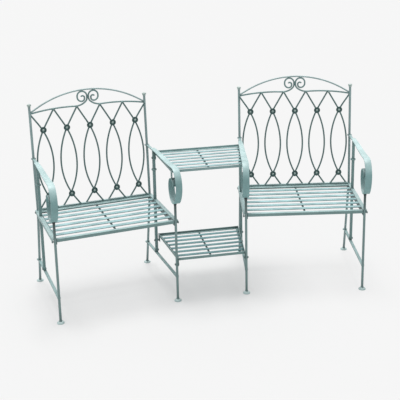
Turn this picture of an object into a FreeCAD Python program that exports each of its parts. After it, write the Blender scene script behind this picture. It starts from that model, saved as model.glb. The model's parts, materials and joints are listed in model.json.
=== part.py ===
import FreeCAD, Part

import math
import os

# A companion seat bench: two slatted armchairs of painted steel rod and flat bar, turned a little
# toward each other and joined by two slatted shelves. Sizes are millimetres and degrees.
# One chair is drawn in its own frame, with x outward from the bench, y to the back and z up. It
# stands on the right as seen from the front, and its twin on the left is its mirror image.

# How the two chairs stand
CHAIR_DISTANCE = 993.6
TURN_ANGLE = 9.6

# Legs, posts and feet. A rise is a height above the seat, unless its comment says otherwise.
FRAME_WIDTH = 575.0
ROD_DIAMETER = 12.0
FRONT_LEG_Y = -249.0
SEAT_HEIGHT = 417.0
POST_SEAT_Y = 157.6
POST_RISE = 517.0
BACK_LEAN = 3.43
LEG_SPLAY = 12.5
POST_BEND_RADIUS = 45.0
FOOT_DIAMETER = 36.0
FOOT_HEIGHT = 11.0
FOOT_RIM = 2.5
FINIAL_DIAMETER = 21.0
FINIAL_HEIGHT = 17.0

# Arms: a strip that lies along the top and rolls over into a scroll above the front leg. Its
# centre line is drawn from the bottom of the scroll, forward and over the top to the rear, and
# backward into the curl. Each arc is a radius, as a multiple of the scroll's half height, and the
# angle it turns.
ARM_THICKNESS = 4.0
ARM_WIDTH = 31.5
ARM_REAR_WIDTH = 22.0
ARM_TAPER_LENGTH = 320.0
SCROLL_RISE = 85.0
SCROLL_HALF_HEIGHT = 100.0
ARM_ARCS = ((0.32, -45.0), (1.18, -45.0), (0.95, -43.0), (0.53, -50.0), (15.0, 6.5), (18.0, -5.0))
CURL_ARCS = ((0.48, 55.0), (0.85, 35.0), (0.62, 30.0), (0.34, 65.0), (0.30, 85.0))
LINK_WIDTH = 13.0
LINK_THICKNESS = 4.0
EYE_DIAMETER = 24.0
LEG_NUT_WIDTH = 13.0
LEG_NUT_HEIGHT = 8.0

# Uprights between the stretcher and the arm
UPRIGHT_SIZE = 13.0
UPRIGHT_OFFSET = 2.5
UPRIGHT_FOOT_Y = 79.0
UPRIGHT_LEAN = 0.73
COLLAR_RISE = 154.0
COLLAR_DIAMETER = 26.0
COLLAR_HEIGHT = 9.0
COLLAR_CHAMFER = 2.0

# Stretchers low down between the front leg and the back post
STRETCHER_TOP = 130.0
STRETCHER_WIDTH = 14.0
STRETCHER_THICKNESS = 4.5
STRETCHER_OVERHANG = 18.0

# Seat: slats in a frame of angle bar between two side angles of the side frames
SEAT_ANGLE_WIDTH = 18.0
SEAT_ANGLE_DEPTH = 15.0
SEAT_SIDE_DEPTH = 25.0
SEAT_FRONT_Y = -251.5
SEAT_REAR_Y = 147.0
SEAT_FRONT_FLANGE = 18.0
SEAT_REAR_FLANGE = 25.0
SEAT_PLATE = 3.0
SEAT_SLATS = 6
SEAT_SLAT_WIDTH = 25.0
CENTRE_BAR_WIDTH = 8.0
CENTRE_BAR_DEPTH = 6.0

# Back panel, drawn upright before it leans. The posts stand above the arch's ends by the stub,
# and the upper rosettes hang below those ends by the drop.
BACK_RAIL_SIZE = 12.0
PANEL_ROD = 8.0
COLUMNS = 5
POST_STUB = 32.0
LOWER_ROSETTE_RISE = 64.5
UPPER_ROSETTE_DROP = 86.5
BOW_REACH = 40.0
BOW_FOOT_SLOPE = 35.0
ARCH_HEIGHT = 91.0
ARCH_END_ANGLE = 31.0
ROSETTE_DIAMETER = 32.0
ROSETTE_THICKNESS = 4.5
ROSETTE_RIM = 3.5
ROSETTE_DISH = 2.5
RIVET_DIAMETER = 11.0
RIVET_HEIGHT = 5.0
RIVET_RIM = 1.0
# A volute's centre line upward from where the pair meets, and the rail's downward from there:
# a straight run is one length, and an arc is a radius and the angle it turns. Lengths and radii
# are multiples of the volute's size.
VOLUTE_SIZE = 50.0
VOLUTE = ((0.13,), (0.49, 90.0), (0.47, 90.0), (0.09,), (0.43, 90.0), (0.29, 90.0), (0.05,),
          (0.20, 90.0), (0.16, 60.0))
RAIL_DROP = ((0.03,), (0.54, -50.0), (1.46, -43.0))

# Shelves between the chairs. An offset is how far a shelf's side stands from the plane of the
# legs beside it, toward the middle of the bench. The upper shelf's rise is above the scrolls' foot.
SHELF_FRONT_Y = -197.0
SHELF_REAR_Y = 137.0
SHELF_RIM_DEPTH = 13.0
SHELF_PLATE = 2.5
SHELF_LEDGE = 14.0
SHELF_SLATS = 6
SHELF_SLAT_WIDTH = 21.0
LOWER_SHELF_TOP = 223.0
UPPER_SHELF_RISE = 166.0
LOWER_SHELF_GAP = 8.0
UPPER_SHELF_FRONT_OFFSET = -11.0
TAB_LENGTH = 22.0
TAB_NOSE = 8.0
TAB_DROP = 26.0
TAB_BOLT_DROP = 18.0

# Fasteners
BOLT_DIAMETER = 6.0
HEAD_DIAMETER = 12.0
HEAD_HEIGHT = 3.3
HEAD_RIM = 1.0
NUT_WIDTH = 10.0
NUT_HEIGHT = 4.0
SEAT_BOLT_DROP = 11.0
SEATING = 0.3
UPRIGHT_BOLT_RISE = 8.0
BOLT_PROUD = 1.0
SPACER_DIAMETER = 10.0

HALF_WIDTH = FRAME_WIDTH / 2
ROD_RADIUS = ROD_DIAMETER / 2
PANEL_RADIUS = PANEL_ROD / 2
UPRIGHT_X = HALF_WIDTH + UPRIGHT_OFFSET
UPRIGHT_FACE_X = UPRIGHT_X + UPRIGHT_SIZE / 2
SEAT_SIDE_X = HALF_WIDTH - ROD_RADIUS + SEATING
SLAT_END_X = SEAT_SIDE_X - SEAT_PLATE
SEAT_UNDERSIDE = SEAT_HEIGHT - SEAT_PLATE
POST_TOP = SEAT_HEIGHT + POST_RISE
SCROLL_BOTTOM = SEAT_HEIGHT + SCROLL_RISE
COLLAR_LEVEL = SEAT_HEIGHT + COLLAR_RISE
UPPER_SHELF_TOP = SCROLL_BOTTOM + UPPER_SHELF_RISE
ARCH_END_RISE = POST_RISE - POST_STUB
ARCH_TOP_RISE = ARCH_END_RISE + ARCH_HEIGHT
UPPER_ROSETTE_RISE = ARCH_END_RISE - UPPER_ROSETTE_DROP
UP = FreeCAD.Vector(0, 0, 1)
OUTWARD = FreeCAD.Vector(1, 0, 0)
INWARD = FreeCAD.Vector(-1, 0, 0)


def vec(x, y, z):
    return FreeCAD.Vector(x, y, z)


def box(x0, x1, y0, y1, z0, z1):
    return Part.makeBox(x1 - x0, y1 - y0, z1 - z0, vec(x0, y0, z0))


def prism(corners, z0, z1):
    """A plan outline of (x, y) corners, raised from z0 to z1."""
    points = [vec(x, y, z0) for x, y in corners]
    return Part.Face(Part.makePolygon(points + [points[0]])).extrude(vec(0, 0, z1 - z0))


def cylinder(diameter, height, base, direction=UP):
    return Part.makeCylinder(diameter / 2, height, base, direction)


def stood_on(solid, base, axis):
    """A piece drawn up from the origin, set on a base point along an axis."""
    solid.Placement = FreeCAD.Placement(base, FreeCAD.Rotation(UP, axis))
    return solid


def dome(diameter, height, rim, base, axis=UP):
    """A round button with a short straight rim and a domed top."""
    radius = diameter / 2
    rise = height - rim
    ball_radius = (radius * radius + rise * rise) / (2 * rise)
    ball = Part.makeSphere(ball_radius, vec(0, 0, height - ball_radius))
    return stood_on(cylinder(diameter, height, vec(0, 0, 0)).common(ball), base, axis)


def hexagon(width, height, base, axis=UP):
    """A six-sided nut, width across its flats."""
    corner = width / 2 / math.cos(math.radians(30))
    angles = [math.radians(60 * i) for i in range(6)]
    outline = [(corner * math.cos(a), corner * math.sin(a)) for a in angles]
    return stood_on(prism(outline, 0, height), base, axis)


def mirrored(shape):
    """The mirror image across the plane x = 0."""
    return shape.mirror(vec(0, 0, 0), OUTWARD)


def both_sides(shape):
    return [shape, mirrored(shape)]


def cut_by(shape, tools):
    """The largest piece that is left of a shape outside its neighbours."""
    for tool in tools:
        shape = shape.cut(tool)
    return max(shape.Solids, key=lambda solid: solid.Volume)


def walk(start, heading, steps, size=1.0):
    """Follow straight runs and tangent arcs in a plane from a start point.

    Each step's length or radius is a multiple of the size. Returns for each step whether it is
    straight, and its start, middle and end, each as a point with its heading. A positive angle
    turns left.
    """
    here = start
    legs = []
    for step in steps:
        a = math.radians(heading)
        stops = []
        for part in (0.0, 0.5, 1.0):
            if len(step) == 1:
                ahead, aside, turn = step[0] * size * part, 0.0, 0.0
            else:
                turn = step[1] * part
                side = math.copysign(step[0] * size, step[1])
                ahead = side * math.sin(math.radians(turn))
                aside = side * (1 - math.cos(math.radians(turn)))
            point = (here[0] + ahead * math.cos(a) - aside * math.sin(a),
                     here[1] + ahead * math.sin(a) + aside * math.cos(a))
            stops.append((point, heading + turn))
        legs.append((len(step) == 1, stops))
        here, heading = stops[-1]
    return legs


def arc_to(goal, here, heading):
    """The arc from a point and heading to another point, as its radius and the angle it turns."""
    toward = math.degrees(math.atan2(goal[1] - here[1], goal[0] - here[0]))
    turn = 2 * ((toward - heading + 180) % 360 - 180)
    return math.dist(goal, here) / 2 / math.sin(math.radians(abs(turn) / 2)), turn


def edges_along(legs, place, offset=0.0):
    """Edges along a walk, shifted to its left by an offset. place(u, v) gives the point."""
    edges = []
    for straight, stops in legs:
        points = []
        for (u, v), heading in stops:
            a = math.radians(heading)
            points.append(place(u - offset * math.sin(a), v + offset * math.cos(a)))
        if straight:
            edges.append(Part.makeLine(points[0], points[2]))
        else:
            edges.append(Part.Arc(points[0], points[1], points[2]).toShape())
    return edges


def backwards(legs):
    """The same walk from its end to its start."""
    return [(straight, [(point, heading + 180) for point, heading in stops[::-1]])
            for straight, stops in legs[::-1]]


def rounded_run(points, radii):
    """Straight runs through points, with a tangent arc at each inner point."""
    edges = []
    here = points[0]
    for i, radius in enumerate(radii):
        corner = points[i + 1]
        arriving = (corner - points[i]).normalize()
        leaving = (points[i + 2] - corner).normalize()
        turn = arriving.getAngle(leaving)
        run = radius * math.tan(turn / 2)
        first = corner - arriving * run
        last = corner + leaving * run
        centre = corner + (leaving - arriving).normalize() * (radius / math.cos(turn / 2))
        middle = centre + (corner - centre).normalize() * radius
        if not first.isEqual(here, 1e-4):
            edges.append(Part.makeLine(here, first))
        edges.append(Part.Arc(first, middle, last).toShape())
        here = last
    edges.append(Part.makeLine(here, points[-1]))
    return edges


def sweep_rod(edges, diameter):
    """A round rod along edges that follow one another smoothly."""
    first = edges[0]
    start = first.valueAt(first.FirstParameter)
    ring = Part.makeCircle(diameter / 2, start, first.tangentAt(first.FirstParameter))
    return Part.Wire(edges).makePipeShell([Part.Wire(ring)], True, True)


def height_over(edges, horizontal, value):
    """The height of a curve where its x or y, as named by horizontal, has a value."""
    points = Part.Wire(edges).discretize(Number=400)
    nearest = min(points, key=lambda point: abs(getattr(point, horizontal) - value))
    return nearest.z


def post_y(z):
    """Where the back post's axis passes at a height."""
    if z > SEAT_HEIGHT:
        return POST_SEAT_Y + (z - SEAT_HEIGHT) * math.tan(math.radians(BACK_LEAN))
    return POST_SEAT_Y + (SEAT_HEIGHT - z) * math.tan(math.radians(LEG_SPLAY))


def upright_y(z):
    """Where the upright's axis passes at a height."""
    return UPRIGHT_FOOT_Y - (z - STRETCHER_TOP) * math.tan(math.radians(UPRIGHT_LEAN))


def on_panel(x, rise, depth=0.0):
    """A point of the back panel before it leans."""
    return vec(x, POST_SEAT_Y + depth, SEAT_HEIGHT + rise)


def leaning(shape):
    """A piece of the back panel, leaned back about the line where the posts bend."""
    return shape.rotated(on_panel(0, 0), OUTWARD, -BACK_LEAN)


def in_side_frame(y, z):
    return vec(0, y, z)


def front_leg(nut_top):
    height = nut_top - LEG_NUT_HEIGHT - FOOT_RIM
    return cylinder(ROD_DIAMETER, height, vec(HALF_WIDTH, FRONT_LEG_Y, FOOT_RIM))


def back_post():
    """A rod bent at the seat: its leg slopes out behind and its upper part leans back."""
    foot = vec(HALF_WIDTH, post_y(FOOT_RIM), FOOT_RIM)
    knee = vec(HALF_WIDTH, POST_SEAT_Y, SEAT_HEIGHT)
    top = vec(HALF_WIDTH, post_y(POST_TOP), POST_TOP)
    return sweep_rod(rounded_run([foot, knee, top], [POST_BEND_RADIUS]), ROD_DIAMETER)


def finial():
    """A flattened ball pressed down over the post's top."""
    ball = Part.makeSphere(FINIAL_DIAMETER / 2)
    squash = FreeCAD.Matrix()
    squash.scale(1, 1, FINIAL_HEIGHT / FINIAL_DIAMETER)
    ball = ball.transformGeometry(squash)
    lean = math.radians(BACK_LEAN)
    axis = vec(0, math.sin(lean), math.cos(lean))
    top = vec(HALF_WIDTH, post_y(POST_TOP), POST_TOP)
    return stood_on(ball, top + axis * (FINIAL_HEIGHT / 3), axis)


def arm_walks():
    """The arm's centre line from the bottom of its scroll: over the top, and into the curl."""
    bottom = (FRONT_LEG_Y, SCROLL_BOTTOM + ARM_THICKNESS / 2)
    return (walk(bottom, 180.0, ARM_ARCS, SCROLL_HALF_HEIGHT),
            walk(bottom, 0.0, CURL_ARCS, SCROLL_HALF_HEIGHT))


def arm_strip(over, curl):
    """The arm: its profile through the side frame, cut to its outline as seen from above."""
    half = ARM_THICKNESS / 2
    outline = edges_along(over, in_side_frame, half) + edges_along(curl, in_side_frame, -half)
    outline += edges_along(over, in_side_frame, -half) + edges_along(curl, in_side_frame, half)
    for legs in (over, curl):
        (y, z), heading = legs[-1][1][-1]
        a = math.radians(heading)
        across = vec(0, -half * math.sin(a), half * math.cos(a))
        outline.append(Part.makeLine(vec(0, y, z) - across, vec(0, y, z) + across))
    face = Part.Face(Part.Wire(Part.__sortEdges__(outline)))
    strip = face.extrude(vec(ARM_WIDTH, 0, 0))
    strip.translate(vec(UPRIGHT_X - ARM_WIDTH / 2, 0, 0))
    rear = over[-1][1][-1][0][0] + ARM_THICKNESS
    waist = rear - ARM_TAPER_LENGTH
    plan = []
    for side in (-1, 1):
        wide = UPRIGHT_X + side * ARM_WIDTH / 2
        narrow = UPRIGHT_X + side * ARM_REAR_WIDTH / 2
        plan.append([(wide, 2 * FRONT_LEG_Y), (wide, waist), (narrow, rear)])
    outline_seen = prism(plan[0] + plan[1][::-1], 0, 2 * SEAT_HEIGHT)
    return strip.common(outline_seen).Solids[0]


def upright(arm, arm_top_edges):
    """A square bar from the stretcher to the underside of the arm."""
    top = height_over(arm_top_edges, "y", upright_y(SCROLL_BOTTOM))
    half = UPRIGHT_SIZE / 2
    foot_y = upright_y(STRETCHER_TOP)
    plan = [(UPRIGHT_X - half, foot_y - half), (UPRIGHT_X + half, foot_y - half),
            (UPRIGHT_X + half, foot_y + half), (UPRIGHT_X - half, foot_y + half)]
    points = [vec(x, y, STRETCHER_TOP) for x, y in plan]
    face = Part.Face(Part.makePolygon(points + [points[0]]))
    bar = face.extrude(vec(0, upright_y(top) - foot_y, top - STRETCHER_TOP))
    return cut_by(bar, [arm])


def collar(bar):
    """A chamfered round cuff around the upright."""
    centre = vec(UPRIGHT_X, upright_y(COLLAR_LEVEL), COLLAR_LEVEL)
    cuff = cylinder(COLLAR_DIAMETER, COLLAR_HEIGHT, centre)
    rims = [edge for edge in cuff.Edges if isinstance(edge.Curve, Part.Circle)]
    return cut_by(cuff.makeChamfer(COLLAR_CHAMFER, rims), [bar])


def arm_link(arm, bar, post, arm_top_edges):
    """A narrow strip from under the arm's rear end to an eye around the back post."""
    start = upright_y(SCROLL_BOTTOM)
    top = height_over(arm_top_edges, "y", start + UPRIGHT_SIZE) - ARM_THICKNESS / 2
    base = top - LINK_THICKNESS
    end = post_y(base)
    strip = box(HALF_WIDTH - LINK_WIDTH / 2, HALF_WIDTH + LINK_WIDTH / 2, start, end, base, top)
    eye = cylinder(EYE_DIAMETER, LINK_THICKNESS, vec(HALF_WIDTH, end, base))
    return cut_by(strip.fuse(eye).removeSplitter(), [arm, bar, post])


def stretcher(leg, post):
    """A flat bar from the front leg to the back post, which stands through its round eye."""
    base = STRETCHER_TOP - STRETCHER_THICKNESS
    half = STRETCHER_WIDTH / 2
    start = FRONT_LEG_Y + ROD_RADIUS / 2
    end = post_y(base) + STRETCHER_OVERHANG - EYE_DIAMETER / 2
    bar = box(HALF_WIDTH - half, HALF_WIDTH + half, start, end, base, STRETCHER_TOP)
    eye = cylinder(EYE_DIAMETER, STRETCHER_THICKNESS, vec(HALF_WIDTH, end, base))
    return cut_by(bar.fuse(eye).removeSplitter(), [leg, post])


def seat_angle(neighbours):
    """The side frame's angle bar at the seat, with an eye around the back post."""
    outer = SEAT_SIDE_X + SEAT_ANGLE_WIDTH
    rear = POST_SEAT_Y + ROD_RADIUS
    flange = box(SEAT_SIDE_X, outer, FRONT_LEG_Y, POST_SEAT_Y, SEAT_UNDERSIDE, SEAT_HEIGHT)
    web = box(outer - SEAT_PLATE, outer, SEAT_FRONT_Y, rear,
              SEAT_HEIGHT - SEAT_ANGLE_DEPTH, SEAT_HEIGHT)
    eye = cylinder(EYE_DIAMETER, SEAT_PLATE, vec(HALF_WIDTH, POST_SEAT_Y, SEAT_UNDERSIDE))
    eye = eye.common(box(SEAT_SIDE_X, outer, FRONT_LEG_Y, 2 * rear, 0, SEAT_HEIGHT))
    return cut_by(flange.fuse([web, eye]).removeSplitter(), neighbours)


def seat_side_rail(neighbours):
    """A flat bar on edge that takes the slats' ends, against the inside of leg and post."""
    rail = box(SLAT_END_X, SEAT_SIDE_X, SEAT_FRONT_Y, POST_SEAT_Y + ROD_RADIUS,
               SEAT_HEIGHT - SEAT_SIDE_DEPTH, SEAT_HEIGHT)
    return cut_by(rail, neighbours)


def seat_cross_rails():
    """The angle bars along the seat's front and rear edges."""
    low = SEAT_HEIGHT - SEAT_ANGLE_DEPTH
    rails = []
    for face, into, flange in ((SEAT_FRONT_Y, 1, SEAT_FRONT_FLANGE),
                               (SEAT_REAR_Y, -1, SEAT_REAR_FLANGE)):
        near, far = sorted((face, face + into * SEAT_PLATE))
        web = box(-SLAT_END_X, SLAT_END_X, near, far, low, SEAT_HEIGHT)
        near, far = sorted((face, face + into * flange))
        top = box(-SLAT_END_X, SLAT_END_X, near, far, SEAT_UNDERSIDE, SEAT_HEIGHT)
        rails.append(web.fuse(top).removeSplitter().Solids[0])
    return rails


def evenly(first, last, count, width):
    """Near edges of bars of one width, set with equal gaps between two edges."""
    gap = (last - first - count * width) / (count + 1)
    return [first + gap + i * (width + gap) for i in range(count)]


def seat_slats():
    front = SEAT_FRONT_Y + SEAT_FRONT_FLANGE
    rear = SEAT_REAR_Y - SEAT_REAR_FLANGE
    return [box(-SLAT_END_X, SLAT_END_X, y, y + SEAT_SLAT_WIDTH, SEAT_UNDERSIDE, SEAT_HEIGHT)
            for y in evenly(front, rear, SEAT_SLATS, SEAT_SLAT_WIDTH)]


def seat_centre_bar():
    """The bar under the middle of the slats, from the front angle to the rear one."""
    half = CENTRE_BAR_WIDTH / 2
    return box(-half, half, SEAT_FRONT_Y + SEAT_PLATE, SEAT_REAR_Y - SEAT_PLATE,
               SEAT_UNDERSIDE - CENTRE_BAR_DEPTH, SEAT_UNDERSIDE)


def back_rail(posts):
    """The square bar between the posts, at the foot of the back panel."""
    half = BACK_RAIL_SIZE / 2
    bar = box(-HALF_WIDTH, HALF_WIDTH, POST_SEAT_Y - half, POST_SEAT_Y + half,
              SEAT_HEIGHT - half, SEAT_HEIGHT + half)
    return cut_by(bar, posts)


def arch_radius():
    """The radius that takes the arch from its straight ends over its top."""
    angle = math.radians(ARCH_END_ANGLE)
    return (HALF_WIDTH * math.tan(angle) - ARCH_HEIGHT) / (1 / math.cos(angle) - 1)


def back_arch(posts):
    """The rod that arches over the back from post to post."""
    angle = math.radians(ARCH_END_ANGLE)
    radius = arch_radius()
    run = (HALF_WIDTH - radius * math.sin(angle)) / math.cos(angle)
    half_turn = (radius, -ARCH_END_ANGLE)
    legs = walk((-HALF_WIDTH, ARCH_END_RISE), ARCH_END_ANGLE, [(run,), half_turn, half_turn, (run,)])
    return cut_by(leaning(sweep_rod(edges_along(legs, on_panel), PANEL_ROD)), posts)


def scroll_walks():
    """Half of the scroll rail, on the side of negative x: its volute, and its run to the post.

    The volute hangs from the arch, and the rail's end meets the post just under the arch's.
    """
    start_x = SEATING / 2 - PANEL_RADIUS
    trial = walk((start_x, 0.0), 90.0, VOLUTE, VOLUTE_SIZE)
    top_x, top_rise = max((point for _, stops in trial for point, _ in stops), key=lambda p: p[1])
    radius = arch_radius()
    sag = radius - math.sqrt(radius ** 2 - top_x ** 2)
    meeting = (start_x, ARCH_TOP_RISE - sag - PANEL_ROD + SEATING - top_rise)
    volute = walk(meeting, 90.0, VOLUTE, VOLUTE_SIZE)
    drop = walk(meeting, -90.0, RAIL_DROP, VOLUTE_SIZE)
    here, heading = drop[-1][1][-1]
    end = (-HALF_WIDTH, ARCH_END_RISE - PANEL_RADIUS)
    rail = walk(here, heading, [arc_to(end, here, heading)])
    return volute, drop, rail


def scroll_rail(volute, drop, rail, arch, posts):
    edges = edges_along(backwards(volute) + drop + rail, on_panel)
    other_half = box(0, HALF_WIDTH, 0, HALF_WIDTH, SEAT_HEIGHT, 2 * POST_TOP)
    return cut_by(leaning(sweep_rod(edges, PANEL_ROD)), [other_half, arch] + posts)


def lattice_rod(column, side, rail_edges, stops):
    """One bowed rod of a column: it crosses its mirror image at both rosettes.

    It starts at the column's top corner, on the side given by the sign of side, and bows out on
    the other side. The rods of one side lie before the others.
    """
    pitch = FRAME_WIDTH / COLUMNS
    middle = (column - (COLUMNS - 1) / 2) * pitch
    depth = side * (PANEL_ROD - SEATING) / 2
    top_x = middle + side * pitch / 2
    top_rise = height_over(rail_edges, "x", -abs(top_x)) - SEAT_HEIGHT
    entry_slope = (pitch / 2) / (top_rise - UPPER_ROSETTE_RISE)
    foot_slope = math.tan(math.radians(BOW_FOOT_SLOPE))
    bow_x = middle - side * BOW_REACH
    foot_x = middle + side * LOWER_ROSETTE_RISE * foot_slope
    points = [on_panel(top_x, top_rise, depth),
              on_panel(bow_x, UPPER_ROSETTE_RISE - BOW_REACH / entry_slope, depth),
              on_panel(bow_x, LOWER_ROSETTE_RISE + BOW_REACH / foot_slope, depth),
              on_panel(foot_x, 0, depth)]
    half_bow = (points[2] - points[1]).Length / 2
    radii = []
    for before, corner, after in (points[0:3], points[1:4]):
        turn = (corner - before).getAngle(after - corner)
        radii.append(half_bow / math.tan(turn / 2))
    rod = leaning(sweep_rod(rounded_run(points, radii), PANEL_ROD))
    return cut_by(rod, stops)


def rosettes(rods):
    """Dished discs in front of the rods' crossings, and the rivet heads in their middles."""
    pitch = FRAME_WIDTH / COLUMNS
    forward = vec(0, -1, 0)
    discs = []
    rivets = []
    for rise in (LOWER_ROSETTE_RISE, UPPER_ROSETTE_RISE):
        for column in range(COLUMNS):
            middle = (column - (COLUMNS - 1) / 2) * pitch
            back = on_panel(middle, rise, 2 * SEATING - PANEL_ROD)
            disc = cylinder(ROSETTE_DIAMETER, ROSETTE_THICKNESS, vec(0, 0, 0))
            dish_diameter = ROSETTE_DIAMETER - 2 * ROSETTE_RIM
            floor = ROSETTE_THICKNESS - ROSETTE_DISH
            disc = disc.cut(cylinder(dish_diameter, ROSETTE_DISH, vec(0, 0, floor)))
            discs.append(cut_by(leaning(stood_on(disc, back, forward)), rods))
            head = dome(RIVET_DIAMETER, RIVET_HEIGHT, RIVET_RIM, back + forward * floor, forward)
            rivets.append(leaning(head))
    return discs, rivets


def bolt(start, direction, length):
    """A bolt whose round head lies against start and whose shank runs along direction."""
    head = dome(HEAD_DIAMETER, HEAD_HEIGHT, HEAD_RIM, start, direction * -1)
    shank = cylinder(BOLT_DIAMETER, length, start, direction)
    return head.fuse(shank).removeSplitter().Solids[0]


def seat_bolts():
    """Bolts through the side angle, the leg or post, and into the seat's side rail."""
    z = SEAT_HEIGHT - SEAT_BOLT_DROP
    length = SEAT_ANGLE_WIDTH + SEAT_PLATE
    return [bolt(vec(SEAT_SIDE_X + SEAT_ANGLE_WIDTH, y, z), INWARD, length)
            for y in (FRONT_LEG_Y, POST_SEAT_Y)]


def upright_fastener():
    """The bolt and nut through the upright's foot."""
    z = STRETCHER_TOP + UPRIGHT_BOLT_RISE
    inner = vec(UPRIGHT_X - UPRIGHT_SIZE / 2, upright_y(z), z)
    outer = vec(UPRIGHT_FACE_X, upright_y(z), z)
    shank = bolt(inner, OUTWARD, UPRIGHT_SIZE + NUT_HEIGHT + BOLT_PROUD)
    return shank, hexagon(NUT_WIDTH, NUT_HEIGHT, outer, OUTWARD).cut(shank)


# Pieces that are a sub-part on each side frame, and pieces that are one sub-part for each chair.
# The other pieces of the side frames are shared by the whole bench.
SINGLE_PIECES = ("front_leg", "back_post", "arm", "upright")
CHAIR_PAIRS = ("stretchers", "seat_angles")
SHARED_BY_CHAIRS = ("rosettes", "rosette_rivets")
SHELF_NAMES = ("lower", "upper")


def in_bench(shape):
    """A shape of the right-hand chair, turned and set beside the middle of the bench."""
    turned = shape.rotated(vec(0, 0, 0), UP, -TURN_ANGLE)
    return turned.translated(vec(CHAIR_DISTANCE / 2, 0, 0))


def side_frame_point(offset, y):
    """A point (x, y) of the bench beside the right chair's inner side frame.

    offset is the distance from the plane of its legs toward the middle of the bench.
    """
    a = math.radians(TURN_ANGLE)
    x = -HALF_WIDTH - offset
    return (CHAIR_DISTANCE / 2 + x * math.cos(a) + y * math.sin(a),
            y * math.cos(a) - x * math.sin(a))


class Shelf:
    """A slatted tray between the chairs, wider behind than in front.

    Its right side runs along a straight line given by its offsets from the plane of the inner
    side frame's legs, at the front leg and at the upright.
    """

    def __init__(self, top, front_offset, rear_offset):
        self.top = top
        self.base = top - SHELF_RIM_DEPTH
        self.bolt_level = self.base - TAB_BOLT_DROP
        self.front_mark = side_frame_point(front_offset, FRONT_LEG_Y)
        self.rear_mark = side_frame_point(rear_offset, upright_y(self.bolt_level))
        run = self.rear_mark[1] - self.front_mark[1]
        self.slope = (self.rear_mark[0] - self.front_mark[0]) / run
        self.along = math.hypot(1, self.slope)

    def side_x(self, y, inset=0.0):
        """The right side line's x at a bench y, set in toward the middle by an inset."""
        return self.front_mark[0] + (y - self.front_mark[1]) * self.slope - inset * self.along

    def side_plate(self, y0, y1, z0, z1, width=SHELF_PLATE):
        """A plate along the inside of the right side line."""
        corners = [(self.side_x(y0), y0), (self.side_x(y1), y1),
                   (self.side_x(y1, width), y1), (self.side_x(y0, width), y0)]
        return prism(corners, z0, z1)

    def between_sides(self):
        """The space between the two side plates."""
        right = [(self.side_x(y, SHELF_PLATE), y) for y in (SHELF_FRONT_Y, SHELF_REAR_Y)]
        left = [(-x, y) for x, y in right[::-1]]
        return prism(right + left, self.base - CENTRE_BAR_DEPTH, self.top)

    def cross_rails(self):
        """The angle bars along the front and rear edges."""
        wide = CHAIR_DISTANCE / 2
        rails = []
        for edge, into in ((SHELF_FRONT_Y, 1), (SHELF_REAR_Y, -1)):
            near, far = sorted((edge, edge + into * SHELF_PLATE))
            web = box(-wide, wide, near, far, self.base, self.top)
            near, far = sorted((edge, edge + into * SHELF_LEDGE))
            ledge = box(-wide, wide, near, far, self.base, self.base + SHELF_PLATE)
            angle = web.fuse(ledge).removeSplitter()
            rails.append(angle.common(self.between_sides()).Solids[0])
        return rails

    def side_rail(self, tabs, neighbours):
        """The right side rail: a rim, a ledge for the slats, and tabs down from it.

        Each tab is its front y and how far it reaches down.
        """
        rim = self.side_plate(SHELF_FRONT_Y, SHELF_REAR_Y, self.base, self.top)
        ledge = self.side_plate(SHELF_FRONT_Y + SHELF_LEDGE, SHELF_REAR_Y - SHELF_LEDGE,
                                self.base, self.base + SHELF_PLATE, SHELF_LEDGE)
        plates = [self.side_plate(y, y + TAB_LENGTH, self.base - drop, self.top)
                  for y, drop in tabs]
        rail = rim.fuse([ledge] + plates).removeSplitter()
        return cut_by(rail, neighbours)

    def slats(self):
        """Flat bars across, with their ends on the side rails' ledges."""
        wide = CHAIR_DISTANCE / 2
        base = self.base + SHELF_PLATE
        front = SHELF_FRONT_Y + SHELF_LEDGE
        rear = SHELF_REAR_Y - SHELF_LEDGE
        bars = [box(-wide, wide, y, y + SHELF_SLAT_WIDTH, base, base + SHELF_PLATE)
                for y in evenly(front, rear, SHELF_SLATS, SHELF_SLAT_WIDTH)]
        return [bar.common(self.between_sides()).Solids[0] for bar in bars]

    def centre_bar(self):
        """The bar under the middle of the slats, between the two angle bars."""
        half = CENTRE_BAR_WIDTH / 2
        top = self.base + SHELF_PLATE
        return box(-half, half, SHELF_FRONT_Y + SHELF_LEDGE, SHELF_REAR_Y - SHELF_LEDGE,
                   top - CENTRE_BAR_DEPTH, top)

    def bolt_at(self, mark, reach):
        """A bolt from the inside of a side rail, and its nut on the far side of a leg or bar.

        reach is the distance from the rail to the nut.
        """
        x, y = mark
        a = math.radians(TURN_ANGLE)
        outward = vec(math.cos(a), -math.sin(a), 0)
        inner = vec(x, y, self.bolt_level) - outward * SHELF_PLATE
        shank = bolt(inner, outward, SHELF_PLATE + reach + NUT_HEIGHT + BOLT_PROUD)
        nut = hexagon(NUT_WIDTH, NUT_HEIGHT, vec(x, y, self.bolt_level) + outward * reach, outward)
        return shank, nut.cut(shank).Solids[0]

    def rear_tab_y(self):
        """Where the tab beside the upright begins."""
        return self.rear_mark[1] - TAB_LENGTH / 2

    def spacer(self, length, neighbours):
        """The tube on the rear bolt, between the side rail and the upright."""
        x, y = self.rear_mark
        a = math.radians(TURN_ANGLE)
        outward = vec(math.cos(a), -math.sin(a), 0)
        start = vec(x, y, self.bolt_level) - outward * SEATING
        return cut_by(cylinder(SPACER_DIAMETER, length + SEATING, start, outward), neighbours)


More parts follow.
